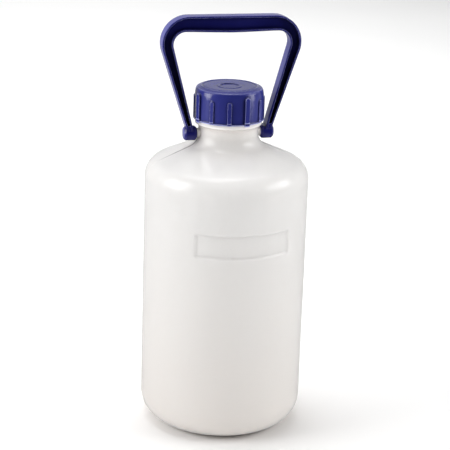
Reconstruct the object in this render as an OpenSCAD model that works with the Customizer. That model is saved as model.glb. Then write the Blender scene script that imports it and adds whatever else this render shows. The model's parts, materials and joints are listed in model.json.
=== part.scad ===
// Five-litre carboy: a blow-moulded bottle with a ribbed screw cap and a swinging carrying handle.
// Millimetres. The bottle stands on Z = 0, its axis is Z, the label panel faces -Y and the
// handle swings about an axis parallel to X. Rest pose: cap screwed down, handle upright.

/* [Bottle body] */
// Outside diameter of the straight body
body_d = 165; // [160:1:172]
// Height of the straight side, where the shoulder begins
side_h = 257.1; // [240:0.1:270]
// Wall thickness of the blow-moulded shell
wall = 2.5; // [2:0.1:3]
// Radius that rounds the base into the side
base_r = 28; // [20:1:34]
// Radius that rounds the side into the shoulder
shoulder_r = 20; // [18:1:26]
// Fall of the shoulder from the neck outwards, in degrees
shoulder_fall = 24; // [18:1:26]
// Radius of the hollow sweep from the shoulder up into the neck
sweep_r = 15; // [13:1:18]
// Height that the middle of the base is pushed up
push_up = 5; // [2:0.5:8]

/* [Label panel] */
// Angle that the sunk panel takes up around the front
panel_angle = 72.8; // [40:0.2:90]
// Height of the panel
panel_h = 26; // [15:1:40]
// Height of the panel's lower edge above the base
panel_z = 195; // [120:1:200]
// Depth that the panel is sunk into the wall
panel_depth = 0.9; // [0.5:0.1:1.2]

/* [Neck] */
// Outside diameter of the neck
neck_d = 59.6; // [58:0.2:60]
// Diameter of the mouth
mouth_d = 51; // [46:0.5:52]
// Diameter of the collar under the cap
collar_d = 66.6; // [65:0.2:67]
// Height of the neck from the end of the sweep to the rim
neck_h = 42.6; // [42:0.2:44]
// Pitch of the cap thread
pitch = 6; // [5.8:0.1:6.2]
// Turns of thread on the neck
neck_turns = 1.75; // [1:0.25:2]
// Height that the thread stands out from the neck
thread_h = 1.8; // [1.4:0.1:1.8]

/* [Cap] */
// Outside diameter of the cap between its ribs
cap_d = 68.4; // [68:0.2:69]
// Lean of the skirt's upper end towards the middle, in degrees
cap_lean = 14; // [8:1:14]
// Height of the cap
cap_h = 33; // [33:0.5:34]
// Thickness of the cap's top
cap_top = 2.5; // [2:0.1:3]
// Thickness of the sealing disc inside the cap
liner_t = 2; // [1.5:0.1:2.5]
// Ribs around the cap; every third one is a large one
rib_count = 12; // [12:3:24]
// Bearing of the first large rib from the front, in degrees
cap_clock = 17; // [-45:0.5:45]

/* [Handle] */
// Width of the handle over its widest point
handle_w = 140; // [136:1:146]
// Height from the hinge to the top of the grip
handle_h = 117.5; // [112:0.5:126]
// Height of the grip bar
grip_h = 15; // [12:0.5:16]
// Depth of the handle, front to back
handle_t = 14; // [12:0.5:14.4]
// Outer radius of the top corners
corner_r = 27; // [22:1:30]
// Inner radius of the top corners
inner_r = 12.5; // [10:0.5:14]
// Width of an arm at its top
arm_w = 11.2; // [10:0.2:12]
// Sag of the grip's underside at the middle
grip_sag = 1.2; // [0:0.1:2]
// Width of the rim around the hollowed faces
rim = 1.8; // [1.4:0.1:2.2]
// Depth of the hollow in each face
hollow = 4.8; // [3:0.1:5]

/* [Hinge] */
// Diameter of the hinge pins moulded on the neck
pin_d = 8; // [7:0.5:8.5]
// Radial clearance of the pins in the handle's feet
pin_gap = 0.05; // [0.02:0.01:0.1]
// Diameter of the handle's barrel feet
foot_d = 14.8; // [14.6:0.2:16]

/* [Hidden] */

$fn = 96;
ARC_STEP = 6; // degrees between the points of a rounded stretch
OVERLAP = 1; // how far a cut runs past a face, and a joined shape starts inside its neighbour

bottle_colour = [0.92, 0.91, 0.89];
handle_colour = [0.09, 0.10, 0.29];
cap_colour = [0.16, 0.17, 0.48];
liner_colour = [0.85, 0.85, 0.83];

body_r = body_d / 2;
neck_r = neck_d / 2;
mouth_r = mouth_d / 2;
collar_r = collar_d / 2;
cap_r = cap_d / 2;
pin_r = pin_d / 2;
foot_r = foot_d / 2;

// Shoulder: a convex arc, a straight fall and a hollow arc that ends upright in the neck.
shoulder_c = [body_r - shoulder_r, side_h];
fall_start = shoulder_c + shoulder_r * [sin(shoulder_fall), cos(shoulder_fall)];
fall_end_r = neck_r + sweep_r - sweep_r * sin(shoulder_fall);
sweep_rise = sweep_r * cos(shoulder_fall);
neck_z = fall_start[1] + (fall_start[0] - fall_end_r) * tan(shoulder_fall) + sweep_rise;
sweep_c = [neck_r + sweep_r, neck_z];
rim_z = neck_z + neck_h;

// Base: a flat standing ring around the pushed-up middle.
stand_w = 7.5; // width of the standing ring
push_w = 7; // width of the slope inside it
stand_in_r = body_r - base_r - stand_w;
push_r = stand_in_r - push_w;

// Neck details
collar_top_z = rim_z - 29; // upper face of the collar
collar_t = 4; // thickness of the collar's edge
cove_h = 4.3; // height of the hollow taper that carries the collar
neck_wall_z = neck_z + 5; // above this the neck has its full wall
edge_r = 0.6; // broken edges of rim and collar
thread_z = rim_z - 21; // start of the neck thread
thread_root = 2.8; // axial width of a thread at its root
thread_crest = 1.4; // axial width of a thread at its crest
thread_bite = 0.8; // how far a thread is sunk into its wall
thread_gap = 0.6; // radial gap between the cap thread's crest and the neck
bore_gap = 0.4; // radial gap between the neck thread's crest and the cap
THREAD_STEPS = 24; // straight stretches in a turn

// Cap
cap_under_z = rim_z + liner_t; // the face that presses on the liner
cap_top_z = cap_under_z + cap_top;
cap_z = cap_top_z - cap_h; // lower edge of the skirt
cap_bore_r = neck_r + thread_h + bore_gap;
cap_turns = 1.5; // turns of thread in the cap
liner_gap = 0.6; // radial gap around the sealing disc
cap_crown_r = 27.7; // raised disc in the cap's top
cap_lean_r = 24; // radius of the curve by which the skirt leans in
cap_edge_r = 3; // rounded upper edge
cap_crown_edge = [0.4, 0.5]; // width and height of the disc's broken edge
cap_slope = 1.2; // fall of the slope around the disc
cap_slope_angle = 66; // where the rounded edge meets that slope, in degrees above level
cap_lip = [1.1, 1.2]; // how far the skirt's lip stands out, and its height
cap_lead = 0.8; // chamfer that leads the bore onto the neck
cap_eye_r = 9.5; // radius of the round dimple at the middle of the top
cap_eye_depth = 0.5; // depth of that dimple
small_rib = [4.9, 1.1]; // width and height of a small rib
large_rib = [6.2, 1.8]; // width and height of a large rib
small_rib_top = 9.4; // how far below the cap's top a small rib ends
large_rib_top = 5.4; // the same for a large rib
large_rib_drop = 0.8; // how far a large rib reaches below the skirt
rib_start_r = collar_r + 0.2; // ribs start here, inside the skirt's wall and clear of the collar

// Handle
pivot_drop = 0.4; // how far the hinge lies below the end of the sweep
pivot_z = neck_z - pivot_drop;
handle_top_z = pivot_z + handle_h;
outer_c = [handle_w / 2 - corner_r, handle_top_z - corner_r];
inner_c = [handle_w / 2 - arm_w - inner_r, handle_top_z - grip_h - inner_r];
outer_tilt = 18.2; // lean of an arm's outer edge from upright
inner_tilt = 14.7; // lean of its inner edge
hollow_z = pivot_z + 8.5; // lower end of the hollows
foot_in_x = 32.7; // inner face of a foot, from the bottle's axis
foot_out_x = 45.6; // its outer face
foot_edge = 1.6; // chamfer on the feet
foot_gap = 0.5; // play of a foot between its boss and the end of its bore
pin_end_x = 43; // tip of a hinge pin
bore_end_x = pin_end_x + foot_gap;
boss_d = 9.4; // diameter of the boss that carries each pin
boss_end_x = foot_in_x - foot_gap;

// Points on an arc about c from angle a0 to a1, both ends included.
function arc(c, r, a0, a1) =
    let (n = max(1, round(abs(a1 - a0) / ARC_STEP)))
    [for (k = [0:n]) let (a = a0 + (a1 - a0) * k / n) c + r * [cos(a), sin(a)]];

// A list of points in reverse order, mirrored in the upright axis.
function mirrored(points) =
    [for (k = [len(points) - 1:-1:0]) [-points[k][0], points[k][1]]];

// Half section of the body and shoulder, sunk by t into the wall, from the base to the neck.
function body_path(t) = concat(
    [[0, push_up + t], [push_r, push_up + t], [stand_in_r + t / 2, t]],
    arc([body_r - base_r, base_r], base_r - t, -90, 0),
    arc(shoulder_c, shoulder_r - t, 0, 90 - shoulder_fall),
    arc(sweep_c, sweep_r + t, 270 - shoulder_fall, 180)
);

// Hollow taper from the neck up to the collar's lower edge.
function cove_path() =
    [for (t = [0:0.2:1])
        [neck_r + (collar_r - edge_r - neck_r) * t * t, collar_top_z - collar_t - cove_h * (1 - t)]];

// Outside of the neck from the sweep up over the collar to the rim, then down the mouth.
function neck_path() = concat(
    cove_path(),
    [
        [collar_r, collar_top_z - collar_t + edge_r],
        [collar_r, collar_top_z - edge_r],
        [collar_r - edge_r, collar_top_z],
        [neck_r, collar_top_z],
        [neck_r, rim_z - edge_r],
        [neck_r - edge_r, rim_z],
        [mouth_r + edge_r, rim_z],
        [mouth_r, rim_z - edge_r],
        [mouth_r, neck_wall_z]
    ]
);

// The wall's inner face, from the neck down to the middle of the base.
function inside_path() =
    let (path = body_path(wall))
    [for (k = [len(path) - 1:-1:0]) path[k]];

// One thread: a helix whose section runs from its root to its crest, fading in and out.
module thread(root, crest, z0, turns) {
    steps = THREAD_STEPS * turns;
    fade = THREAD_STEPS / 8; // an eighth of a turn
    side = sign(crest - root);
    function reach(i) = min(1, min(i, steps - i) / fade);
    rings = [for (i = [0:steps])
        let (a = 360 * i / THREAD_STEPS)
        let (z = z0 + pitch * i / THREAD_STEPS)
        let (inner = root - side * thread_bite)
        let (outer = root + (crest - root) * reach(i) - side * thread_bite / 2 * (1 - reach(i)))
        [
            [inner * cos(a), inner * sin(a), z - thread_root / 2],
            [outer * cos(a), outer * sin(a), z - thread_crest / 2],
            [outer * cos(a), outer * sin(a), z + thread_crest / 2],
            [inner * cos(a), inner * sin(a), z + thread_root / 2]
        ]
    ];
    walls = [for (i = [0:steps - 1]) for (j = [0:3])
        let (k = (j + 1) % 4)
        let (p = [4 * i + j, 4 * i + k, 4 * i + 4 + k, 4 * i + 4 + j])
        each [[p[0], p[1], p[2]], [p[0], p[2], p[3]]]
    ];
    last = 4 * steps;
    ends = [[0, 2, 1], [0, 3, 2], [last, last + 1, last + 2], [last, last + 2, last + 3]];
    all = concat(walls, ends);
    faces = side > 0 ? all : [for (f = all) [f[0], f[2], f[1]]];
    polyhedron(points = [for (ring = rings) each ring], faces = faces);
}

// A cylinder along X between two places on the +X side.
module along_x(r, x0, x1) {
    translate([x0, 0, pivot_z]) rotate([0, 90, 0]) cylinder(r = r, h = x1 - x0);
}

module on_both_sides() {
    children();
    mirror([1, 0, 0]) children();
}

module label_panel() {
    rotate([0, 0, -90 - panel_angle / 2])
        rotate_extrude(angle = panel_angle)
            translate([body_r - panel_depth, panel_z]) square([panel_depth + OVERLAP, panel_h]);
}

module bottle() {
    color(bottle_colour) {
        difference() {
            rotate_extrude() polygon(concat(body_path(0), neck_path(), inside_path()));
            label_panel();
        }
        thread(neck_r, neck_r + thread_h, thread_z, neck_turns);
        on_both_sides() {
            along_x(boss_d / 2, mouth_r + wall, boss_end_x);
            along_x(pin_r, boss_end_x - OVERLAP, pin_end_x);
        }
    }
}

// Outside of the cap's skirt from its rounded upper edge down to where the wall is upright.
function cap_shoulder() =
    let (blend = cap_lean_r - cap_edge_r)
    let (edge_c = [
        cap_r - cap_lean_r + blend * cos(cap_lean),
        cap_top_z - cap_slope - cap_edge_r
    ])
    let (lean_c = [cap_r - cap_lean_r, edge_c[1] - blend * sin(cap_lean)])
    concat(arc(edge_c, cap_edge_r, cap_slope_angle, cap_lean + ARC_STEP), arc(lean_c, cap_lean_r, cap_lean, 0));

// Half section of the cap's shell.
function cap_path() = concat(
    [
        [0, cap_under_z],
        [0, cap_top_z - cap_eye_depth],
        [cap_eye_r, cap_top_z - cap_eye_depth],
        [cap_eye_r, cap_top_z],
        [cap_crown_r, cap_top_z],
        [cap_crown_r + cap_crown_edge[0], cap_top_z - cap_crown_edge[1]]
    ],
    cap_shoulder(),
    [
        [cap_r, cap_z + cap_lip[0] + cap_lip[1]],
        [cap_r + cap_lip[0], cap_z + cap_lip[1]],
        [cap_r + cap_lip[0], cap_z],
        [cap_bore_r + cap_lead, cap_z],
        [cap_bore_r, cap_z + cap_lead],
        [cap_bore_r, cap_under_z]
    ]
);

// A rib with a round top, from inside the skirt's wall out to its own height.
module rib(size, top_z, bottom_z) {
    r = size[0] / 2;
    rotate([90, 0, 0])
        translate([0, 0, rib_start_r])
            linear_extrude(cap_r + size[1] - rib_start_r) {
                translate([0, top_z - r]) circle(r = r);
                translate([-r, bottom_z]) square([size[0], top_z - r - bottom_z]);
            }
}

module screw_cap() {
    color(cap_colour) {
        rotate_extrude() polygon(cap_path());
        thread(cap_bore_r, neck_r + thread_gap, thread_z + pitch / 2, cap_turns);
        for (i = [0:rib_count - 1])
            rotate([0, 0, cap_clock + i * 360 / rib_count])
                if (i % 3 == 0) rib(large_rib, cap_top_z - large_rib_top, cap_z - large_rib_drop);
                else rib(small_rib, cap_top_z - small_rib_top, cap_z + cap_lip[0]);
    }
}

module cap_liner() {
    color(liner_colour)
        translate([0, 0, rim_z]) cylinder(r = cap_bore_r - liner_gap, h = liner_t);
}

// A point on the straight edge below a corner, where it reaches height z.
function arm_point(c, r, tilt, z) =
    let (t = c + r * [cos(tilt), -sin(tilt)])
    [t[0] - (t[1] - z) * tan(tilt), z];

// Right half of the handle's outer edge, drawn in by i, from height z up to the top.
function outer_edge(i, z) = concat(
    [arm_point(outer_c, corner_r - i, outer_tilt, z)],
    arc(outer_c, corner_r - i, -outer_tilt, 90)
);

// Right half of its inner edge, drawn in by i, from height z up to the grip.
function inner_edge(i, z) = concat(
    [arm_point(inner_c, inner_r + i, inner_tilt, z)],
    arc(inner_c, inner_r + i, -inner_tilt, 90)
);

// Underside of the grip between its corners, from the left to the right, drawn in by i.
function grip_underside(i) =
    [for (t = [-0.75:0.25:0.75])
        [t * inner_c[0], inner_c[1] + inner_r + i - grip_sag * (1 - t * t)]];

// The handle's face, drawn in by i all round and ending at height z.
function face(i, z) =
    let (inner = inner_edge(i, z))
    concat(
        outer_edge(i, z),
        mirrored(outer_edge(i, z)),
        [for (p = inner) [-p[0], p[1]]],
        grip_underside(i),
        [for (k = [len(inner) - 1:-1:0]) inner[k]]
    );

module foot() {
    translate([foot_in_x, 0, pivot_z])
        rotate([0, 90, 0])
            rotate_extrude()
                polygon([
                    [0, 0],
                    [foot_r - foot_edge, 0],
                    [foot_r, foot_edge],
                    [foot_r, foot_out_x - foot_in_x - foot_edge],
                    [foot_r - foot_edge, foot_out_x - foot_in_x],
                    [0, foot_out_x - foot_in_x]
                ]);
}

module handle() {
    color(handle_colour)
        difference() {
            union() {
                difference() {
                    rotate([90, 0, 0])
                        linear_extrude(handle_t, center = true) polygon(face(0, pivot_z));
                    for (side = [-1, 1])
                        translate([0, side * (handle_t - hollow + OVERLAP) / 2, 0])
                            rotate([90, 0, 0])
                                linear_extrude(hollow + OVERLAP, center = true)
                                    polygon(face(rim, hollow_z));
                }
                on_both_sides() foot();
            }
            on_both_sides() along_x(pin_r + pin_gap, foot_in_x - OVERLAP, bore_end_x);
        }
}

bottle();
screw_cap();
cap_liner();
handle();
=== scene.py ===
"""Looks of the five-litre carboy: bottle, screw cap, sealing disc and carrying handle, built
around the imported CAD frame. Lengths are metres in the frame's axes; MM turns millimetres into
them."""

import json
import math

import bpy
import numpy as np
from mathutils import Matrix, Vector


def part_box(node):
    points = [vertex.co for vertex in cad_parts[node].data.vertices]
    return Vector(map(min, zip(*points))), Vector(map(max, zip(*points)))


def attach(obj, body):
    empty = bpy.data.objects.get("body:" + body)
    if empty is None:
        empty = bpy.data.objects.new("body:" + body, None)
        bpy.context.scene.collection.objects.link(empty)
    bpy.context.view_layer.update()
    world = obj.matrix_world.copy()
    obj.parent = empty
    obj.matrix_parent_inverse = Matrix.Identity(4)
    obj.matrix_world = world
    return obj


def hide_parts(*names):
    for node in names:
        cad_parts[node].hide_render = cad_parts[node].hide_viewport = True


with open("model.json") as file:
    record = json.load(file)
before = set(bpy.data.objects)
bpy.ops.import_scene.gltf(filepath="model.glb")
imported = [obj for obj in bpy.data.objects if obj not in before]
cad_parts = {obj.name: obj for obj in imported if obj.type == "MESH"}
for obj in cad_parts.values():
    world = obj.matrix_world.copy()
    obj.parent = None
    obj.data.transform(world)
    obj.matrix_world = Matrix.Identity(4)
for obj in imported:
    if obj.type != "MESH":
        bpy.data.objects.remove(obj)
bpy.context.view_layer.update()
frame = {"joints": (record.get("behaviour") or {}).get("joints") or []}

MM = 0.001
FULL_TURN = 2 * math.pi

# ------------------------------------------------------------------ sizes that the pieces share

bottle_low, bottle_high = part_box("bottle")
liner_low, liner_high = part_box("cap_liner")
cap_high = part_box("screw_cap")[1]
handle_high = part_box("handle")[1]
joints = {joint["name"]: joint for joint in frame["joints"]}

BODY_R = (bottle_high.y - bottle_low.y) / 2
RIM_Z = bottle_high.z
PIVOT_Z = joints["handle_swing"]["pos_m"][2]

# These repeat the CAD's, as most sizes of the pieces below do; where one differs, it says so.
NECK_R = 29.8 * MM
NECK_Z = PIVOT_Z + 0.4 * MM  # where the sweep from the shoulder meets the neck
MOUTH_R = 25.5 * MM
WALL = 2.5 * MM


# ------------------------------------------------------------------ small helpers


def smoothstep(x):
    """0 below 0, 1 above 1, and an S-shaped rise between."""
    x = np.clip(x, 0.0, 1.0)
    return x * x * (3 - 2 * x)


def line(start, end, step):
    """Points from start towards end, about step apart, without the end itself."""
    start, end = np.array(start, float), np.array(end, float)
    count = max(1, int(round(np.linalg.norm(end - start) / step)))
    return [tuple(start + (end - start) * k / count) for k in range(count)]


def arc(centre, radius, first, last, step=4.0):
    """Points on an arc between two angles in degrees, both ends included."""
    count = max(1, int(round(abs(last - first) / step)))
    angles = np.radians(np.linspace(first, last, count + 1))
    return [(centre[0] + radius * math.cos(a), centre[1] + radius * math.sin(a)) for a in angles]


def around(step, *groups):
    """Angles round the axis, in radians: evenly spaced by step degrees, and closer together around
    the centres of each group, which is (centres, offsets) in degrees."""
    evenly = np.arange(0, 360, step)
    extra = [
        (centre + side * offset) % 360
        for centres, offsets in groups for centre in centres for offset in offsets
        for side in (-1, 1)
    ]
    angles = np.unique(np.round(np.concatenate([evenly, extra]) % 360, 3))
    least_gap = 0.06
    kept = [angles[0]]
    for angle in angles[1:]:
        if angle - kept[-1] >= least_gap and 360 - angle >= least_gap:
            kept.append(angle)
    return np.radians(kept)


def across(theta, direction, radius):
    """Distance round a circle of the given radius from a direction in degrees, never negative."""
    angle = theta - math.radians(direction)
    return np.abs(radius * np.arctan2(np.sin(angle), np.cos(angle)))


def mesh_object(name, vertices, faces):
    """A smooth-shaded mesh object from vertices and faces."""
    mesh = bpy.data.meshes.new(name)
    mesh.from_pydata([tuple(v) for v in vertices], [], faces)
    mesh.update()
    mesh.polygons.foreach_set("use_smooth", [True] * len(mesh.polygons))
    obj = bpy.data.objects.new(name, mesh)
    bpy.context.scene.collection.objects.link(obj)
    return obj


def grid_faces(rows, columns, flip=False):
    """Four-sided faces between rows of vertices that each close on themselves; flip turns the
    faces over."""
    faces = []
    for i in range(rows - 1):
        for j in range(columns):
            k = (j + 1) % columns
            low_j, low_k = i * columns + j, i * columns + k
            high_j, high_k = low_j + columns, low_k + columns
            faces.append((low_j, high_j, high_k, low_k) if flip else (low_j, low_k, high_k, high_j))
    return faces


def revolve(name, outline, angles, shape=None):
    """A closed solid of revolution about Z. The outline runs from the axis, round the solid and
    back to the axis, upwards on the outside. shape(theta, r, z, row) may return an offset along
    the outline's normal and a rise in z."""
    outline = np.array(outline, float)
    inner = outline[1:-1]
    slope = np.gradient(inner, axis=0)
    normal = np.stack([slope[:, 1], -slope[:, 0]], -1)
    normal /= np.maximum(np.linalg.norm(normal, axis=1, keepdims=True), 1e-12)
    theta, r = np.meshgrid(angles, inner[:, 0])
    z = np.repeat(inner[:, 1:], len(angles), axis=1)
    row = np.repeat(np.arange(len(inner))[:, None], len(angles), axis=1)
    if shape is not None:
        offset, rise = shape(theta, r, z, row)
        r = r + offset * normal[:, :1]
        z = z + offset * normal[:, 1:] + rise
    points = np.stack([r * np.cos(theta), r * np.sin(theta), z], -1).reshape(-1, 3)
    points = np.vstack([points, [[0, 0, outline[0][1]], [0, 0, outline[-1][1]]]])
    rows, columns = len(inner), len(angles)
    first_pole, last_pole = rows * columns, rows * columns + 1
    faces = []
    for j in range(columns):
        k = (j + 1) % columns
        faces.append((first_pole, k, j))
        faces.append((last_pole, (rows - 1) * columns + j, (rows - 1) * columns + k))
    return mesh_object(name, points, faces + grid_faces(rows, columns))


def revolve_about_hinge(name, outline, side, angles):
    """A solid turned about the hinge axis; the outline is (radius, distance from the middle)."""
    obj = revolve(name, outline, angles)
    turn = Matrix.Rotation(side * math.pi / 2, 4, "Y")
    obj.data.transform(Matrix.Translation((0, 0, PIVOT_Z)) @ turn)
    return obj


def combine(target, tool, operation):
    """Joins tool to target ("UNION") or cuts it out ("DIFFERENCE"), and removes the tool."""
    modifier = target.modifiers.new("combine", "BOOLEAN")
    modifier.operation = operation
    modifier.solver = "MANIFOLD"
    modifier.object = tool
    evaluated = target.evaluated_get(bpy.context.evaluated_depsgraph_get())
    mesh = bpy.data.meshes.new_from_object(evaluated)
    target.modifiers.clear()
    target.data = mesh
    bpy.data.objects.remove(tool)


def sharpen(obj, angle):
    """Smooth shading with creases where faces meet at more than angle degrees."""
    mesh = obj.data
    mesh.polygons.foreach_set("use_smooth", [True] * len(mesh.polygons))
    mesh.set_sharp_from_angle(angle=math.radians(angle))


def finish_piece(obj, body, node, material):
    """Gives a piece its material and body, and hides the CAD node that it replaces."""
    obj.data.materials.clear()
    obj.data.materials.append(material)
    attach(obj, body)
    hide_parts(node)
    return obj


def thread_height(theta, z, start_z, pitch, turns, root, crest):
    """0 to 1 over the section of a right-hand thread, whose widths at its root and crest are
    given, fading in and out over 30 degrees at its ends."""
    height = np.zeros_like(z)
    fade = math.radians(30)
    for turn in range(int(math.ceil(turns)) + 1):
        along = theta + FULL_TURN * turn
        centre = start_z + pitch * along / FULL_TURN
        section = smoothstep((root / 2 - np.abs(z - centre)) / ((root - crest) / 2))
        ends = smoothstep(along / fade) * smoothstep((turns * FULL_TURN - along) / fade)
        height = np.maximum(height, section * ends)
    return height


# ------------------------------------------------------------------ bottle

BASE_R = 27 * MM  # rounding from the base into the side, 1 mm less than the CAD's
SHOULDER_R = 20 * MM  # rounding from the side into the shoulder
SHOULDER_FALL = 24  # slope of the shoulder, in degrees
SWEEP_R = 15 * MM  # hollow curve from the shoulder into the neck
SIDE_TOP = 257.1 * MM
STAND_IN_R = BODY_R - BASE_R - 7.5 * MM  # inner edge of the standing ring
PUSH_R = STAND_IN_R - 7 * MM  # radius of the base's flat pushed-up middle
PUSH_UP = 5 * MM
COLLAR_R = 33.3 * MM
COLLAR_TOP = RIM_Z - 29 * MM
COLLAR_T = 4 * MM
COLLAR_EDGE = 0.5 * MM
COVE_H = 4.3 * MM  # height of the collar's tapered underside
RIM_EDGE = 1 * MM  # rounding of the mouth's rim
PANEL_Z = (195 * MM, 221 * MM)
PANEL_FRONT = -90  # direction of the panel's middle, in degrees
PANEL_ANGLE = 72.8  # degrees round the front
PANEL_DEPTH = 1.15 * MM  # 0.25 mm more than the CAD's
PANEL_WALL = 3.0 * MM  # width of the panel's sloping rim above and below
PANEL_END = 4.8 * MM  # and at its two ends
PANEL_INNER_SPREAD = 1.6  # how much wider that rim is on the inside of the wall
PANEL_CORNER = 3 * MM
PITCH = 6 * MM
THREAD_H = 1.8 * MM
THREAD_Z = RIM_Z - 21 * MM
THREAD_TURNS = 1.75
THREAD_ROOT = 2.8 * MM
THREAD_CREST = 1.2 * MM  # 0.2 mm less than the CAD's
LAND_STEP = 0.45 * MM  # rows where a thread or ribs stand on a straight wall
SEAM_H = 0.22 * MM  # the ridge that the two mould halves leave
SEAM_W = 0.4 * MM
WAVE_H = 0.12 * MM  # unevenness of the side
SIDE_SHRINK = 0.36 * MM  # keeps the seam and the wavy side inside the frame's width
PIN_R = 4 * MM
PIN_END_X = 43 * MM
BOSS_R = 5.6 * MM  # at its root in the neck; it narrows to the CAD's 4.7 mm
BOSS_END_X = 32.2 * MM


def side_rows(step, edges):
    """Heights up the straight side, closer together around the given edges."""
    heights = list(np.arange(BASE_R + step, SIDE_TOP, step))
    for edge in edges:
        heights += list(edge + np.arange(-4.5, 4.51, 0.5) * MM)
    return np.unique(np.round(heights, 6))


def wall_path(sink, coarse):
    """Half section of the base, side and shoulder, sunk by sink into the wall."""
    step = 6.0 if coarse else 4.0
    rows = side_rows(12 * MM if coarse else 5 * MM, PANEL_Z)
    shoulder_c = (BODY_R - SHOULDER_R, SIDE_TOP)
    sweep_c = (NECK_R + SWEEP_R, NECK_Z)
    stand = (STAND_IN_R + sink / 2, sink)
    push = (PUSH_R, PUSH_UP + sink)
    push_slope = [
        (push[0] + (stand[0] - push[0]) * t, push[1] + (stand[1] - push[1]) * float(smoothstep(t)))
        for t in np.linspace(0, 1, 9)
    ]
    return (
        line((0, PUSH_UP + sink), push, 3 * MM)
        + push_slope
        + arc((BODY_R - BASE_R, BASE_R), BASE_R - sink, -90, 0, step)
        + [(BODY_R - sink, z) for z in rows]
        + arc(shoulder_c, SHOULDER_R - sink, 0, 90 - SHOULDER_FALL, step)
        + arc(sweep_c, SWEEP_R + sink, 270 - SHOULDER_FALL, 180, step)
    )


def bottle_outline():
    """Closed half section of the shell, and how many of its rows are on the outside."""
    collar_c = COLLAR_R - COLLAR_EDGE  # radius at which the collar's edge arcs are centred
    cove = [
        (NECK_R + (collar_c - NECK_R) * t * t, COLLAR_TOP - COLLAR_T - COVE_H * (1 - t))
        for t in np.linspace(0, 1, 9)
    ]
    collar = (
        arc((collar_c, COLLAR_TOP - COLLAR_T + COLLAR_EDGE), COLLAR_EDGE, -60, 0, 30)
        + arc((collar_c, COLLAR_TOP - COLLAR_EDGE), COLLAR_EDGE, 0, 90, 30)
    )
    land = [(NECK_R, z) for z in np.arange(COLLAR_TOP, RIM_Z - 1.2 * RIM_EDGE, LAND_STEP)]
    rim = (
        arc((NECK_R - RIM_EDGE, RIM_Z - RIM_EDGE), RIM_EDGE, 0, 90, 18)
        + arc((MOUTH_R + RIM_EDGE, RIM_Z - RIM_EDGE), RIM_EDGE, 90, 180, 18)
    )
    lower_neck = line((NECK_R, NECK_Z + 1 * MM), cove[0], 1.5 * MM)
    outside = wall_path(0, False) + lower_neck + cove + collar + land
    mouth = line((MOUTH_R, RIM_Z - 2 * RIM_EDGE), (MOUTH_R, NECK_Z + 5 * MM), 3 * MM)
    inside = mouth + wall_path(WALL, True)[::-1]
    return outside + rim + inside, len(outside)


def waviness(theta, z):
    """Slow unevenness of a blow-moulded side, from -1 to 1."""
    waves = ((2, 21, 0.4), (3, 34, 1.9), (5, 13, 4.1), (7, 47, 2.7), (4, 61, 5.2))
    total = sum(np.sin(k * theta + phase + q * z) for k, q, phase in waves)
    return total / len(waves)


def panel_sink(theta, z, wall=PANEL_WALL):
    """0 on the side and 1 on the floor of the sunk label panel at the front, over a sloping rim."""
    half_w = BODY_R * math.radians(PANEL_ANGLE / 2)
    half_h = (PANEL_Z[1] - PANEL_Z[0]) / 2
    dx = (across(theta, PANEL_FRONT, BODY_R) - half_w) * PANEL_WALL / PANEL_END + PANEL_CORNER
    dz = np.abs(z - sum(PANEL_Z) / 2) - half_h + PANEL_CORNER
    past_corner = np.hypot(np.maximum(dx, 0), np.maximum(dz, 0))
    outside = past_corner + np.minimum(np.maximum(dx, dz), 0) - PANEL_CORNER
    return smoothstep(-outside / wall)


def make_bottle():
    """The blow-moulded shell with its panel, thread, parting line and hinge pins."""
    outline, outside_rows = bottle_outline()
    panel_middle = 360 + PANEL_FRONT
    panel_ends = (panel_middle - PANEL_ANGLE / 2, panel_middle + PANEL_ANGLE / 2)
    off_end = np.arange(0, 3.4, 0.4)
    off_seam = (0.0, 0.12, 0.25, 0.4, 0.6, 0.85, 1.15, 1.5)
    angles = around(2, (panel_ends, off_end), ((0, 180), off_seam))

    def shape(theta, r, z, row):
        """Waves, parting line, panel and thread outside, and the waves and panel inside."""
        outer = row < outside_rows
        standing = (z < 1.5 * MM) & (r > PUSH_R + 2 * MM)
        above_base = smoothstep((z - 4 * MM) / (20 * MM))
        below_neck = smoothstep((SIDE_TOP + 20 * MM - z) / (25 * MM))
        wave = (waviness(theta, z) * WAVE_H - SIDE_SHRINK) * (above_base * below_neck)
        from_seam = np.abs(r * np.sin(theta))
        ridge = SEAM_H * np.exp(-(from_seam / SEAM_W) ** 2) * (z < COLLAR_TOP) * (r > 1 * MM)
        thread = THREAD_H * thread_height(
            theta, z, THREAD_Z, PITCH, THREAD_TURNS, THREAD_ROOT, THREAD_CREST)
        thread = thread * (z > COLLAR_TOP) * (r > NECK_R - 0.1 * MM)
        outer_offset = wave + ridge * ~standing - PANEL_DEPTH * panel_sink(theta, z) + thread
        inner_sink = panel_sink(theta, z, PANEL_INNER_SPREAD * PANEL_WALL)
        inner_offset = PANEL_DEPTH * inner_sink - wave
        return np.where(outer, outer_offset, inner_offset), 0.0

    bottle = revolve("bottle_shell", outline, angles, shape)
    for side in (-1, 1):
        combine(bottle, make_neck_pin(side), "UNION")
    sharpen(bottle, 50)
    return bottle


def make_neck_pin(side):
    """The tapered boss and the hinge pin on one side of the neck."""
    start = MOUTH_R + WALL
    boss_edge, pin_edge = 0.4 * MM, 0.6 * MM
    outline = (
        [(0, start), (BOSS_R, start), (BOSS_R, 29.2 * MM), (BOSS_R - 0.5 * MM, 30.4 * MM)]
        + arc((PIN_R + 0.3 * MM, BOSS_END_X - boss_edge), boss_edge, 0, 90, 30)
        + [(PIN_R, BOSS_END_X)]
        + arc((PIN_R - pin_edge, PIN_END_X - pin_edge), pin_edge, 0, 90, 30)
        + [(0, PIN_END_X)]
    )
    return revolve_about_hinge("pin", outline, side, around(9))


# ------------------------------------------------------------------ cap

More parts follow.
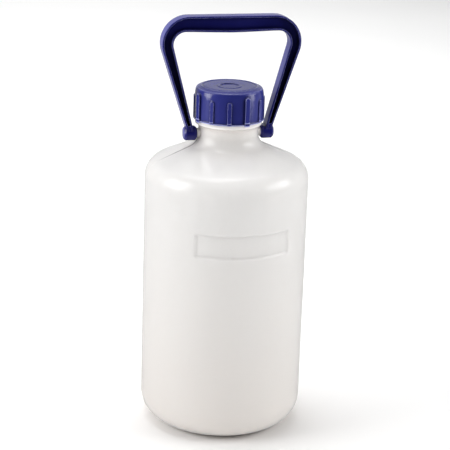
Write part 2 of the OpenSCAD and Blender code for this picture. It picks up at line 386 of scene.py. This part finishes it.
CAP_R = 34.2 * MM  # skirt between the ribs
CAP_TOP = cap_high.z
CAP_EDGE_Z = CAP_TOP - 33 * MM  # lower edge of the skirt
CAP_UNDER = liner_high.z
CAP_BORE_R = NECK_R + THREAD_H + 0.4 * MM
CAP_BORE_EDGE = 0.8 * MM
CAP_THREAD_H = 1.6 * MM
CAP_THREAD_TURNS = 1.5
CAP_EDGE_R = 3 * MM  # rounding from the skirt into the top
LIP_EDGE = 0.3 * MM
LIP_DROP = 0.7 * MM  # how far the lip dips below each large rib, 0.1 mm less than the CAD's
CROWN_R = 27.7 * MM  # the flat disc on the top
CROWN_EDGE = 0.35 * MM
EYE_R = 9.5 * MM  # dimple in the middle of the top
RING_R = 12.2 * MM  # outer edge of the low ring around the dimple
RIBS = 12
CAP_CLOCK = 17  # bearing of the first large rib from the front, in degrees
SMALL_RIB = {"half": 2.45 * MM, "height": 1.1 * MM, "top": CAP_TOP - 9.4 * MM}
# The large ribs end 0.4 mm higher than the CAD's.
LARGE_RIB = {"half": 3.1 * MM, "height": 1.8 * MM, "top": CAP_TOP - 5.0 * MM}
RIB_EDGE = 0.55 * MM  # width of a rib's sloping flank
SKIRT_LEAN = 14  # degrees that the skirt leans in at its upper end
LEAN_R = 24 * MM  # radius of that curve


def cap_inside():
    """The cap's outline from the middle of its underside down the bore to the lower edge."""
    low, high = CAP_EDGE_Z + 1.6 * MM, CAP_UNDER - 1.2 * MM
    bore_c = (CAP_BORE_R - CAP_BORE_EDGE, CAP_UNDER - CAP_BORE_EDGE)
    return (
        line((0, CAP_UNDER), (CAP_BORE_R - CAP_BORE_EDGE, CAP_UNDER), 4 * MM)
        + arc(bore_c, CAP_BORE_EDGE, 90, 0, 30)
        + [(CAP_BORE_R, z) for z in np.arange(high, low, -0.4 * MM)]
        + [(CAP_BORE_R + 0.5 * MM, CAP_EDGE_Z + 0.5 * MM), (CAP_BORE_R + 0.9 * MM, CAP_EDGE_Z)]
    )


def cap_skirt():
    """The cap's outline up its lip, its wall and the rounding into its top."""
    lean = math.radians(SKIRT_LEAN)
    reach = LEAN_R - CAP_EDGE_R
    edge_c = (CAP_R - LEAN_R + reach * math.cos(lean), CAP_TOP - 4.2 * MM)
    lean_c = (CAP_R - LEAN_R, edge_c[1] - reach * math.sin(lean))
    lip_r = CAP_R + 1.1 * MM
    lip = (
        [(CAP_BORE_R + 1.6 * MM, CAP_EDGE_Z)]
        + arc((lip_r - LIP_EDGE, CAP_EDGE_Z + LIP_EDGE), LIP_EDGE, -90, 0, 30)
        + [(lip_r, CAP_EDGE_Z + 0.9 * MM), (CAP_R + 0.15 * MM, CAP_EDGE_Z + 1.3 * MM)]
    )
    low, high = CAP_EDGE_Z + 1.7 * MM, lean_c[1] - 0.2 * MM
    wall = [(CAP_R, z) for z in np.arange(low, high, LAND_STEP)]
    leaning = arc(lean_c, LEAN_R, 0, SKIRT_LEAN, 1.2)[:-1]
    return lip + wall + leaning + arc(edge_c, CAP_EDGE_R, SKIRT_LEAN, 66, 6)


def cap_top(start):
    """The cap's outline from start to the middle of its top. The pairs of the groove, the ring and
    the dimple are a radius and a depth below CAP_TOP in millimetres."""
    slope_end = (CROWN_R + 0.5 * MM, CAP_TOP - 0.45 * MM)
    disc_z, eye_z = CAP_TOP - 0.3 * MM, CAP_TOP - 0.8 * MM
    groove = ((CROWN_R - 0.6 * MM, 0.04), (CROWN_R - 0.9 * MM, 0.55), (CROWN_R - 1.4 * MM, 0.55))
    ring_and_dimple = (
        (RING_R + 0.7 * MM, 0.5),
        (RING_R + 0.3 * MM, 0.5),
        (RING_R, 0.06),
        (RING_R - 0.4 * MM, 0.02),
        (EYE_R + 0.5 * MM, 0.02),
        (EYE_R + 0.15 * MM, 0.08),
        (EYE_R, 0.25),
        (EYE_R - 0.1 * MM, 0.7),
        (EYE_R - 0.5 * MM, 0.9),
    )
    return (
        line(start, slope_end, 0.9 * MM)[1:]
        + [slope_end]
        + arc((CROWN_R, CAP_TOP - CROWN_EDGE), CROWN_EDGE, 20, 90, 23)
        + [(r, CAP_TOP - depth * MM) for r, depth in groove]
        + line((CROWN_R - 1.8 * MM, disc_z), (RING_R + 1.0 * MM, disc_z), 3 * MM)
        + [(r, CAP_TOP - depth * MM) for r, depth in ring_and_dimple]
        + line((EYE_R - 1.5 * MM, CAP_TOP - 0.9 * MM), (0, eye_z), 3 * MM)
        + [(0, eye_z)]
    )


def cap_outline():
    """Closed half section of the cap, how many of its rows are inside, and how many come before
    its top."""
    inside, skirt = cap_inside(), cap_skirt()
    outline = inside + skirt + cap_top(skirt[-1])
    return outline, len(inside), len(inside) + len(skirt)


def rib_angles():
    """Directions of the ribs round the axis in degrees, with True for a large one."""
    return [((CAP_CLOCK - 90 + 360 * i / RIBS) % 360, i % 3 == 0) for i in range(RIBS)]


def rib_height(theta, z):
    """Height of the ribs above the skirt."""
    height = np.zeros_like(z)
    for direction, large in rib_angles():
        rib = LARGE_RIB if large else SMALL_RIB
        beside = across(theta, direction, CAP_R)
        above = z - (rib["top"] - rib["half"])
        beyond = np.where(above > 0, np.hypot(beside, np.maximum(above, 0)), beside) - rib["half"]
        height = np.maximum(height, rib["height"] * smoothstep(-beyond / RIB_EDGE))
    return height


def near_large_rib(theta):
    """1 in line with a large rib, and 0 beside it."""
    share = np.zeros_like(theta)
    for direction, large in rib_angles():
        if large:
            beside = across(theta, direction, CAP_R)
            share = np.maximum(share, smoothstep((LARGE_RIB["half"] - beside) / RIB_EDGE))
    return share


def make_cap():
    """The screw cap with its ribs, female thread and the lip that dips below each large rib."""
    outline, inside_rows, skirt_rows = cap_outline()
    off_rib = (0, 1.6, 3.0, 3.25, 3.5, 3.75, 4.0, 4.2, 4.4, 4.65, 4.9, 5.15, 5.4, 6.2, 7.5, 9.5, 12)
    angles = around(15, ([direction for direction, _ in rib_angles()], off_rib))

    def shape(theta, r, z, row):
        """Female thread inside, ribs on the skirt, and the lip's dips."""
        inside = row < inside_rows
        skirt = (row >= inside_rows) & (row < skirt_rows) & (z > CAP_EDGE_Z + 1e-6)
        lean_in = np.maximum(CAP_R - r, 0) / LARGE_RIB["height"]
        ribs = np.maximum(rib_height(theta, z) * (1 + lean_in) - np.maximum(r - CAP_R, 0), 0)
        thread = CAP_THREAD_H * thread_height(
            theta, z, THREAD_Z + PITCH / 2, PITCH, CAP_THREAD_TURNS, THREAD_ROOT, THREAD_CREST)
        thread = thread * (r > CAP_BORE_R - 0.1 * MM) * (z < CAP_UNDER - 1 * MM)
        near_edge = smoothstep((CAP_EDGE_Z + 2.4 * MM - z) / (2.4 * MM)) * (row >= inside_rows)
        offset = np.where(inside, thread, np.where(skirt, ribs, 0.0))
        return offset, -LIP_DROP * near_large_rib(theta) * near_edge * (row < skirt_rows)

    cap = revolve("screw_cap_shell", outline, angles, shape)
    sharpen(cap, 60)
    return cap


def make_liner():
    """The sealing disc: a soft-edged disc with a shallow pressed ring where the rim bears on it."""
    r = (liner_high.x - liner_low.x) / 2
    low, high = liner_low.z, liner_high.z
    edge = 0.5 * MM
    pressed = low + 0.15 * MM
    outline = (
        line((0, low), (MOUTH_R - 1 * MM, low), 4 * MM)
        + [(MOUTH_R - 0.4 * MM, low), (MOUTH_R + 0.4 * MM, pressed)]
        + [(NECK_R - 0.6 * MM, pressed), (NECK_R + 0.2 * MM, low)]
        + arc((r - edge, low + edge), edge, -90, 0, 30)
        + arc((r - edge, high - edge), edge, 0, 90, 30)
        + line((r - 1 * MM, high), (0, high), 4 * MM)
        + [(0, high)]
    )
    return revolve("sealing_disc", outline, around(3.75))


# ------------------------------------------------------------------ handle

HALF_W = handle_high.x
TOP_Z = handle_high.z
GRIP_H = 15 * MM
THICK = 14 * MM  # front to back
CORNER_R = 27 * MM
INNER_R = 12.5 * MM  # corner on the inside of the frame
ARM_W = 11.2 * MM
GRIP_SAG = 1.2 * MM
OUTER_TILT = 18.2  # of an arm's outer edge from upright, in degrees
INNER_TILT = 14.7  # and of its inner edge
RIM = 1.8 * MM  # width of the rims beside the hollows
RIM_LIP = 0.3 * MM
EDGE = 1.0 * MM  # rounding of the frame's long edges
HOLLOW = 4.8 * MM  # depth of the hollows
HOLLOW_Z = PIVOT_Z + 8.5 * MM  # lower end of the hollows
HOLLOW_END = 1.6 * MM  # height over which they run out there
HOLLOW_FILLET = 0.5 * MM
FLAT_DEPTH = 0.02 * MM  # least depth, so that sections without a hollow keep all their points
DRAFT = 0.25 * MM
FOOT_X = (32.7 * MM, 45.6 * MM)
FOOT_R = 7.4 * MM
FOOT_EDGE = 1.6 * MM  # chamfer
BORE_R = 4.05 * MM
BORE_END_X = 43.5 * MM
BORE_CHAMFER = 0.4 * MM


def bail_half():
    """Matching points (inner edge, outer edge) from the right foot up to the middle of the grip."""
    outer_c = np.array([HALF_W - CORNER_R, TOP_Z - CORNER_R])
    inner_c = np.array([HALF_W - ARM_W - INNER_R, TOP_Z - GRIP_H - INNER_R])
    outer_a, inner_a = math.radians(OUTER_TILT), math.radians(INNER_TILT)
    outer_end = outer_c + CORNER_R * np.array([math.cos(outer_a), -math.sin(outer_a)])
    inner_end = inner_c + INNER_R * np.array([math.cos(inner_a), -math.sin(inner_a)])
    outer_rise, inner_rise = outer_end[1] - PIVOT_Z, inner_end[1] - PIVOT_Z
    outer_foot = np.array([outer_end[0] - outer_rise * math.tan(outer_a), PIVOT_Z])
    inner_foot = np.array([inner_end[0] - inner_rise * math.tan(inner_a), PIVOT_Z])
    near_hollow = (HOLLOW_Z - PIVOT_Z) / inner_rise + np.arange(-1.5, 3.1, 0.5) * MM / inner_rise
    shares = np.unique(np.concatenate([np.linspace(0, 1, 25), near_hollow]))
    pairs = [
        (inner_foot + (inner_end - inner_foot) * t, outer_foot + (outer_end - outer_foot) * t)
        for t in shares
    ]
    for t in np.linspace(0, 1, 25)[1:]:
        inner_now = -inner_a + (math.pi / 2 + inner_a) * t
        outer_now = -outer_a + (math.pi / 2 + outer_a) * t
        pairs.append((
            inner_c + INNER_R * np.array([math.cos(inner_now), math.sin(inner_now)]),
            outer_c + CORNER_R * np.array([math.cos(outer_now), math.sin(outer_now)]),
        ))
    for t in np.linspace(0, 1, 17)[1:]:
        sag = GRIP_SAG * (1 - (1 - t) ** 2)
        pairs.append((
            np.array([inner_c[0] * (1 - t), TOP_Z - GRIP_H - sag * t ** 0.5]),
            np.array([outer_c[0] * (1 - t), TOP_Z]),
        ))
    return pairs


def bail_section(width, depth):
    """Points (distance from the inner edge, y) round an I-shaped section with soft edges."""
    half = THICK / 2
    floor = half - depth
    edge_c = (EDGE, half - EDGE)
    lip_c = (RIM - RIM_LIP, half - RIM_LIP)
    fillet = min(HOLLOW_FILLET, depth * 0.5)
    fillet_c = (RIM + DRAFT + fillet, floor + fillet)
    inner = [(0.0, 0.0), (0.0, 0.5 * (half - EDGE))]
    inner += [
        (edge_c[0] - EDGE * math.cos(a), edge_c[1] + EDGE * math.sin(a))
        for a in np.radians((0, 22, 45, 68, 90))
    ]
    inner += [
        (lip_c[0] + RIM_LIP * math.sin(a), lip_c[1] + RIM_LIP * math.cos(a))
        for a in np.radians((0, 45, 90))
    ]
    inner += [
        (fillet_c[0] - fillet * math.cos(a), fillet_c[1] - fillet * math.sin(a))
        for a in np.radians((0, 30, 60, 90))
    ]
    outer = [(width - a, y) for a, y in inner][::-1]
    upper = inner + [(width / 2, floor)] + outer
    lower = [(a, -y) for a, y in upper[::-1]][1:-1]
    return upper + lower


def bail_ring(inner, outer):
    """The section between two matching points of the frame, as vertices."""
    width = np.linalg.norm(outer - inner)
    outward = (outer - inner) / width
    above = min(inner[1], outer[1]) - HOLLOW_Z
    depth = max(HOLLOW * float(smoothstep(above / HOLLOW_END)), FLAT_DEPTH)
    return [
        (inner[0] + outward[0] * a, y, inner[1] + outward[1] * a)
        for a, y in bail_section(width, depth)
    ]


def make_handle():
    """The handle: its hollowed frame in one sweep, with feet, blind bores and the gate mark."""
    right = bail_half()
    mirror = np.array([-1, 1])
    left = [(inner * mirror, outer * mirror) for inner, outer in right[::-1]][1:]
    rings = [bail_ring(inner, outer) for inner, outer in right + left]
    count = len(rings[0])
    vertices = [vertex for ring in rings for vertex in ring]
    first, last = range(count), range(len(vertices) - count, len(vertices))
    faces = grid_faces(len(rings), count, flip=True) + [tuple(first), tuple(last)[::-1]]
    bail = mesh_object("carrying_handle", vertices, faces)
    for side in (-1, 1):
        combine(bail, make_foot(side), "UNION")
    for side in (-1, 1):
        combine(bail, make_bore(side), "DIFFERENCE")
    combine(bail, make_gate_mark(), "DIFFERENCE")
    sharpen(bail, 40)
    return bail


def make_foot(side):
    """The barrel foot of one arm, chamfered at both ends with softened corners."""
    soft = 0.35 * MM
    end_r, side_r = FOOT_R - FOOT_EDGE - soft, FOOT_R - soft
    outline = (
        [(0, FOOT_X[0])]
        + arc((end_r, FOOT_X[0] + soft), soft, -90, -45, 22.5)
        + arc((side_r, FOOT_X[0] + FOOT_EDGE + soft), soft, -45, 0, 22.5)
        + arc((side_r, FOOT_X[1] - FOOT_EDGE - soft), soft, 0, 45, 22.5)
        + arc((end_r, FOOT_X[1] - soft), soft, 45, 90, 22.5)
        + [(0, FOOT_X[1])]
    )
    return revolve_about_hinge("foot", outline, side, around(5))


def make_bore(side):
    """The blind hole for the pin, as a cutter that starts clear of the foot."""
    start = FOOT_X[0] - 2 * MM
    outline = [
        (0, start),
        (BORE_R, start),
        (BORE_R, BORE_END_X - BORE_CHAMFER),
        (BORE_R - BORE_CHAMFER, BORE_END_X),
        (0, BORE_END_X),
    ]
    return revolve_about_hinge("bore", outline, side, around(7.5))


def make_gate_mark():
    """The round recess with a raised middle where the plastic entered the mould, as a cutter."""
    middle, floor, above = TOP_Z - 0.2 * MM, TOP_Z - 0.8 * MM, TOP_Z + 0.5 * MM
    outline = [
        (0, middle),
        (0.5 * MM, middle),
        (0.6 * MM, floor),
        (1.4 * MM, floor),
        (1.5 * MM, above),
        (0, above),
    ]
    return revolve("gate_mark", outline, around(15))


# ------------------------------------------------------------------ materials


MILKY_DEEP, MILKY_PALE = (0.880, 0.838, 0.808), (0.905, 0.865, 0.835)
SPECK_GREY = (0.70, 0.68, 0.65)
# Colours of painted shade: lower down, in creases, where sheltered, and along the parting line.
LOWER_PAINTED_SHADE = (0.78, 0.715, 0.67)
CREASE_PAINTED_SHADE = (0.55, 0.52, 0.49)
SHELTER_PAINTED_SHADE = (0.46, 0.43, 0.40)
SEAM_PAINTED_SHADE = (0.07, 0.06, 0.06)
# Painted light: a paler sheen on faces by their direction, and paler highlight lines on edges.
FACING_PAINTED_SHEEN = (0.088, 0.092, 0.36)
EDGE_PAINTED_HIGHLIGHT = (0.44, 0.46, 0.86)
FOAM_GREY, FOAM_WHITE = (0.74, 0.74, 0.71), (0.84, 0.84, 0.81)
PAPER_GREY, PAPER_WHITE = (0.95, 0.95, 0.95), (0.97, 0.97, 0.965)
RANGE_INPUTS = ("From Min", "From Max", "To Min", "To Max")


def darker(colour, share):
    """The colour at a share of its brightness."""
    return tuple(c * share for c in colour)


class Nodes:
    """A short way to build a node material. Noise scales are in cells to the metre."""

    def __init__(self, name):
        self.material = bpy.data.materials.new(name)
        self.material.use_nodes = True
        self.tree = self.material.node_tree
        self.shader = self.tree.nodes["Principled BSDF"]
        self.place = self.add("ShaderNodeTexCoord").outputs["Object"]

    def add(self, kind, **settings):
        """A new node of a kind, with its settings."""
        node = self.tree.nodes.new(kind)
        for key, value in settings.items():
            setattr(node, key, value)
        return node

    def link(self, source, target):
        self.tree.links.new(source, target)

    def noise(self, scale, detail=3.0, roughness=0.5, stretch=(1, 1, 1)):
        """Noise from 0 to 1 in object space; stretch above 1 draws it out along that axis."""
        mapping = self.add("ShaderNodeMapping")
        mapping.inputs["Scale"].default_value = [1 / s for s in stretch]
        self.link(self.place, mapping.inputs["Vector"])
        noise = self.add("ShaderNodeTexNoise")
        noise.inputs["Scale"].default_value = scale
        noise.inputs["Detail"].default_value = detail
        noise.inputs["Roughness"].default_value = roughness
        self.link(mapping.outputs["Vector"], noise.inputs["Vector"])
        return noise.outputs["Fac"]

    def scaled(self, value, low, high, out_low, out_high):
        """value mapped from low..high to out_low..out_high and clamped."""
        node = self.add("ShaderNodeMapRange")
        for key, number in zip(RANGE_INPUTS, (low, high, out_low, out_high)):
            node.inputs[key].default_value = number
        self.link(value, node.inputs["Value"])
        return node.outputs["Result"]

    def mix(self, factor, first, second):
        """A colour between first and second; each is a colour or another mix's output."""
        node = self.add("ShaderNodeMix", data_type="RGBA")
        self.link(factor, node.inputs["Factor"])
        for socket, value in ((node.inputs[6], first), (node.inputs[7], second)):
            if isinstance(value, tuple):
                socket.default_value = (*value, 1)
            else:
                self.link(value, socket)
        return node.outputs[2]

    def math(self, operation, *values):
        """A Math node; each value is a number or another node's output."""
        node = self.add("ShaderNodeMath", operation=operation)
        for socket, value in zip(node.inputs, values):
            if isinstance(value, (int, float)):
                socket.default_value = value
            else:
                self.link(value, socket)
        return node.outputs["Value"]

    def sum(self, first, second):
        return self.math("ADD", first, second)

    def openness(self, reach, inside=False):
        """1 on open surface and less within reach of a neighbouring surface of the same piece;
        with inside, less near an outer edge."""
        node = self.add("ShaderNodeAmbientOcclusion", samples=6, only_local=True, inside=inside)
        node.inputs["Distance"].default_value = reach
        return node.outputs["AO"]

    def set(self, **values):
        """Numbers on the shader's own sockets, named with _ for a space."""
        for key, value in values.items():
            self.shader.inputs[key.replace("_", " ")].default_value = value

    def bump(self, height, distance):
        """Bump on the shader: height from 0 to 1 over distance in metres."""
        node = self.add("ShaderNodeBump")
        node.inputs["Distance"].default_value = distance
        node.inputs["Strength"].default_value = 1.0
        self.link(height, node.inputs["Height"])
        self.link(node.outputs["Normal"], self.shader.inputs["Normal"])


def seam_painted_shade(m, split):
    """Share of painted shade along the parting line's ridge: in full on the shoulder, faint down
    the side and on the neck, and broken up by noise. split gives X, Y and Z on the bottle."""
    near_seam = m.scaled(m.math("ABSOLUTE", split.outputs["Y"]), 0.45 * MM, 0.95 * MM, 1.0, 0.0)
    reach = m.math("ABSOLUTE", split.outputs["X"])
    on_shoulder = m.scaled(reach, 52 * MM, 72 * MM, 1.0, 0.06)
    off_neck = m.scaled(reach, 30.2 * MM, 32 * MM, 0.1, 1.0)
    patchy = m.scaled(m.noise(120, 3), 0.35, 0.6, 0.8, 1.0)
    along = m.math("MULTIPLY", near_seam, on_shoulder)
    return m.math("MULTIPLY", along, m.math("MULTIPLY", off_neck, patchy))


def milky_plastic():
    """Natural HDPE: milky, faintly uneven, with a satin blow-moulded skin and fine upright
    scuffs, and painted shade that greys it lower down, in its creases, where it is sheltered and
    along the parting line on the shoulder."""
    m = Nodes("milky_hdpe")
    cloud = m.noise(14, 4, 0.55, (1, 1, 2.2))
    specks = m.noise(420, 2)
    colour = m.mix(m.scaled(cloud, 0.35, 0.65, 0, 1), MILKY_DEEP, MILKY_PALE)
    colour = m.mix(m.scaled(specks, 0.70, 0.78, 0, 0.25), colour, SPECK_GREY)
    split = m.add("ShaderNodeSeparateXYZ")
    m.link(m.place, split.inputs["Vector"])
    # Painted shade: the colour greys towards the bottom.
    low = m.scaled(split.outputs["Z"], 0, 240 * MM, 0.95, 0.0)
    colour = m.mix(low, colour, LOWER_PAINTED_SHADE)
    # Painted shade in the creases, where the wall comes near another part of itself.
    creases = m.scaled(m.openness(9 * MM), 0.35, 0.86, 0.45, 0.0)
    colour = m.mix(creases, colour, CREASE_PAINTED_SHADE)
    # Painted shade where the surface is sheltered by other parts of the bottle, as on the neck.
    shelter = m.scaled(m.openness(30 * MM), 0.45, 0.95, 1.0, 0.0)
    colour = m.mix(shelter, colour, SHELTER_PAINTED_SHADE)
    # Painted shade: a dark line along the parting line's ridge, strongest on the shoulder.
    colour = m.mix(seam_painted_shade(m, split), colour, SEAM_PAINTED_SHADE)
    m.link(colour, m.shader.inputs["Base Color"])
    scuffs = m.noise(260, 3, 0.6, (1, 1, 14))
    rough = m.sum(m.scaled(scuffs, 0.3, 0.7, 0.16, 0.21), m.scaled(cloud, 0.3, 0.7, 0.0, 0.03))
    m.link(rough, m.shader.inputs["Roughness"])
    m.set(IOR=1.5, Subsurface_Weight=1.0, Subsurface_Radius=(1.0, 1.0, 1.0))
    m.set(Subsurface_Scale=8 * MM)
    skin = m.sum(m.scaled(m.noise(90, 3), 0, 1, 0, 0.7), m.scaled(m.noise(900, 2), 0, 1, 0, 0.12))
    m.bump(skin, 0.12 * MM)
    return m.material


def moulded_plastic(name, deep, light, rough, sheen_axis, sheen_range, sheen_share, edge_reach, edge_range):
    """Coloured polypropylene: even colour from deep to light with slow flow marks, fine grain and
    pale scuffs, with painted shade in its creases and hollows. rough is the range of its roughness.
    Faces whose normal's share of sheen_axis goes through sheen_range turn paler, up to sheen_share,
    as a painted sheen. Edges turn paler, as a painted highlight, where the openness within
    edge_reach of the inside falls through edge_range."""
    m = Nodes(name)
    flow = m.noise(38, 3, 0.5, (1, 1, 1.8))
    colour = m.mix(m.scaled(flow, 0.35, 0.65, 0, 1), deep, light)
    scratches = m.noise(700, 4, 0.75, (1, 6, 1))
    pale = tuple(min(1.0, c * 1.8 + 0.06) for c in light)
    colour = m.mix(m.scaled(scratches, 0.66, 0.80, 0, 0.5), colour, pale)
    # Painted sheen: faces turn paler by the direction they face, such as the cap's top and the
    # handle's sides.
    facing = m.add("ShaderNodeSeparateXYZ")
    m.link(m.add("ShaderNodeTexCoord").outputs["Normal"], facing.inputs["Vector"])
    painted_sheen = m.scaled(m.math("ABSOLUTE", facing.outputs[sheen_axis]), *sheen_range, 0.0, sheen_share)
    colour = m.mix(painted_sheen, colour, FACING_PAINTED_SHEEN)
    # Painted shade: dark lines in the creases beside ribs, rings and rims.
    creases = m.scaled(m.openness(1.2 * MM), 0.6, 0.95, 0.85, 0.0)
    colour = m.mix(creases, colour, darker(deep, 0.1))
    # Painted highlight: thin pale lines along the edges of ribs, rims and rings.
    edges = m.scaled(m.openness(edge_reach, inside=True), *edge_range, 1.0, 0.0)
    colour = m.mix(edges, colour, EDGE_PAINTED_HIGHLIGHT)
    # Painted shade in the hollows, darker the deeper they are.
    hollows = m.scaled(m.openness(8 * MM), 0.5, 0.97, 0.95, 0.0)
    colour = m.mix(hollows, colour, darker(deep, 0.06))
    m.link(colour, m.shader.inputs["Base Color"])
    grain = m.noise(1500, 2)
    matt = m.sum(m.scaled(flow, 0.3, 0.7, *rough), m.scaled(scratches, 0.6, 0.8, 0, 0.04))
    m.link(matt, m.shader.inputs["Roughness"])
    m.set(IOR=1.4)
    skin = m.sum(m.scaled(grain, 0, 1, 0, 0.25), m.scaled(m.noise(160, 2), 0, 1, 0, 0.6))
    m.bump(skin, 0.05 * MM)
    return m.material


def foam():
    """Foamed polyethylene: off-white with fine closed cells."""
    m = Nodes("sealing_foam")
    cells = m.add("ShaderNodeTexVoronoi")
    cells.inputs["Scale"].default_value = 1400
    m.link(m.place, cells.inputs["Vector"])
    colour = m.mix(m.scaled(m.noise(60), 0.3, 0.7, 0, 1), FOAM_GREY, FOAM_WHITE)
    m.link(colour, m.shader.inputs["Base Color"])
    m.link(m.scaled(m.noise(200), 0.3, 0.7, 0.6, 0.75), m.shader.inputs["Roughness"])
    m.bump(cells.outputs["Distance"], 0.1 * MM)
    return m.material


def floor_paper():
    """The pale studio paper that the object stands on."""
    m = Nodes("studio_paper")
    colour = m.mix(m.scaled(m.noise(3), 0.3, 0.7, 0, 1), PAPER_GREY, PAPER_WHITE)
    m.link(colour, m.shader.inputs["Base Color"])
    m.set(Roughness=0.9, Specular_IOR_Level=0.1)
    return m.material


# ------------------------------------------------------------------ scene

CAMERA_AZIMUTH = -14.5  # from the front, in degrees
CAMERA_ELEVATION = 18.0
CAMERA_ROLL = 1.9
CAMERA_DISTANCE = 1.66
CAMERA_AIM = (0, 0, 0.2052)
LENS = 131.0  # focal length and sensor width, in millimetres
SENSOR = 36
FLOOR_HALF = 8


def make_camera():
    """The camera at the photograph's viewing angle."""
    a, e = math.radians(CAMERA_AZIMUTH), math.radians(CAMERA_ELEVATION)
    back = Vector((math.sin(a) * math.cos(e), -math.cos(a) * math.cos(e), math.sin(e)))
    data = bpy.data.cameras.new("camera")
    data.lens = LENS
    data.sensor_width = SENSOR
    data.clip_start, data.clip_end = 0.05, 50
    camera = bpy.data.objects.new("camera", data)
    camera.location = Vector(CAMERA_AIM) + back * CAMERA_DISTANCE
    aim = (-back).to_track_quat("-Z", "Y").to_matrix().to_4x4()
    camera.rotation_euler = (aim @ Matrix.Rotation(math.radians(CAMERA_ROLL), 4, "Z")).to_euler()
    bpy.context.scene.collection.objects.link(camera)
    bpy.context.scene.camera = camera


def area_light(name, place, target, size, radiance, spread=150, only=None):
    """A rectangular softbox of the given radiance. spread is the angle in degrees that its grid
    lets out, and only limits it to some objects."""
    data = bpy.data.lights.new(name, "AREA")
    data.shape = "RECTANGLE"
    data.size, data.size_y = size
    data.energy = radiance * math.pi * size[0] * size[1]
    data.spread = math.radians(spread)
    light = bpy.data.objects.new(name, data)
    light.location = place
    light.visible_camera = False
    direction = Vector(target) - Vector(place)
    light.rotation_euler = direction.to_track_quat("-Z", "Y").to_euler()
    bpy.context.scene.collection.objects.link(light)
    if only is not None:
        receivers = bpy.data.collections.new(name + "_receivers")
        for obj in only:
            receivers.objects.link(obj)
        light.light_linking.receiver_collection = receivers
    return light


def make_world():
    """An even white tent with a dark opening at the front, below its closed top."""
    world = bpy.data.worlds.new("studio")
    world.use_nodes = True
    tree = world.node_tree
    place = tree.nodes.new("ShaderNodeTexCoord").outputs["Generated"]
    background = tree.nodes["Background"]

    def toward(direction, low, high, out_low, out_high):
        """A smooth ramp over how far a ray points in the direction."""
        dot = tree.nodes.new("ShaderNodeVectorMath")
        dot.operation = "DOT_PRODUCT"
        tree.links.new(place, dot.inputs[0])
        dot.inputs[1].default_value = direction
        ramp = tree.nodes.new("ShaderNodeMapRange")
        ramp.interpolation_type = "SMOOTHSTEP"
        for key, number in zip(RANGE_INPUTS, (low, high, out_low, out_high)):
            ramp.inputs[key].default_value = number
        tree.links.new(dot.outputs["Value"], ramp.inputs["Value"])
        return ramp.outputs["Result"]

    def calculate(operation, first, second):
        """A Math node of two outputs."""
        node = tree.nodes.new("ShaderNodeMath")
        node.operation = operation
        tree.links.new(first, node.inputs[0])
        tree.links.new(second, node.inputs[1])
        return node.outputs["Value"]

    tent = toward((0.0, 0.0, 1.0), 0.2, 0.9, 0.56, 0.52)
    off_front = toward((0.05, -1.0, 0.0), -0.2, 0.8, 1.0, 0.0)
    top = toward((0.0, 0.0, 1.0), 0.85, 0.99, 0.0, 1.0)
    strength = calculate("MULTIPLY", tent, calculate("MAXIMUM", off_front, top))
    tree.links.new(strength, background.inputs["Strength"])
    background.inputs["Color"].default_value = (1, 1, 1, 1)
    bpy.context.scene.world = world


def make_studio(bottle, cap, handle):
    """Floor, softboxes and tent. The bottle has a front fill of its own, which its gloss doesn't
    mirror, and the cap and handle have two low side lights of their own."""
    corners = [(x * FLOOR_HALF, y * FLOOR_HALF, 0) for x, y in ((-1, -1), (1, -1), (1, 1), (-1, 1))]
    floor = mesh_object("floor", corners, [(0, 1, 2, 3)])
    floor.data.materials.append(floor_paper())
    floor.visible_glossy = False  # the tent's lower half stands in for it in reflections
    area_light("overhead", (-0.1, 1.5, 2.3), (0.0, 1.4, 0), (2.8, 2.6), 0.95, spread=90)
    area_light("left", (-1.5, -0.02, 0.8), (0, 0, 0.2), (0.9, 1.2), 3.3)
    area_light("right", (1.34, -0.49, 0.96), (0, 0, 0.25), (1.1, 0.8), 2.85)
    front_fill = area_light(
        "front_fill", (0.05, -1.3, 0.52), (0, 0, 0.24), (0.8, 0.5), 6.9, spread=180, only=[bottle])
    front_fill.visible_glossy = False
    area_light(
        "left_low", (-1.45, -0.05, 0.32), (0, 0, 0.33), (0.45, 0.6), 3.0, only=[cap, handle])
    area_light(
        "right_low", (1.3, -0.5, 0.36), (0, 0, 0.33), (0.45, 0.7), 3.6, only=[cap, handle])
    make_world()
    bpy.context.scene.view_settings.view_transform = "Standard"


# ------------------------------------------------------------------ build

bottle = finish_piece(make_bottle(), "bottle", "bottle", milky_plastic())
cap_plastic = moulded_plastic(
    "cap_blue", deep=(0.027, 0.032, 0.200), light=(0.034, 0.040, 0.245), rough=(0.11, 0.16),
    sheen_axis="Z", sheen_range=(0.6, 0.95), sheen_share=0.22, edge_reach=1.3 * MM, edge_range=(0.62, 0.82))
cap = finish_piece(make_cap(), "screw_cap", "screw_cap", cap_plastic)
finish_piece(make_liner(), "cap_liner", "cap_liner", foam())
handle_plastic = moulded_plastic(
    "handle_navy", deep=(0.010, 0.011, 0.130), light=(0.014, 0.015, 0.165), rough=(0.15, 0.21),
    sheen_axis="Y", sheen_range=(0.4, 0.1), sheen_share=0.8, edge_reach=0.8 * MM, edge_range=(0.6, 0.84))
handle = finish_piece(make_handle(), "handle", "handle", handle_plastic)
make_camera()
make_studio(bottle, cap, handle)
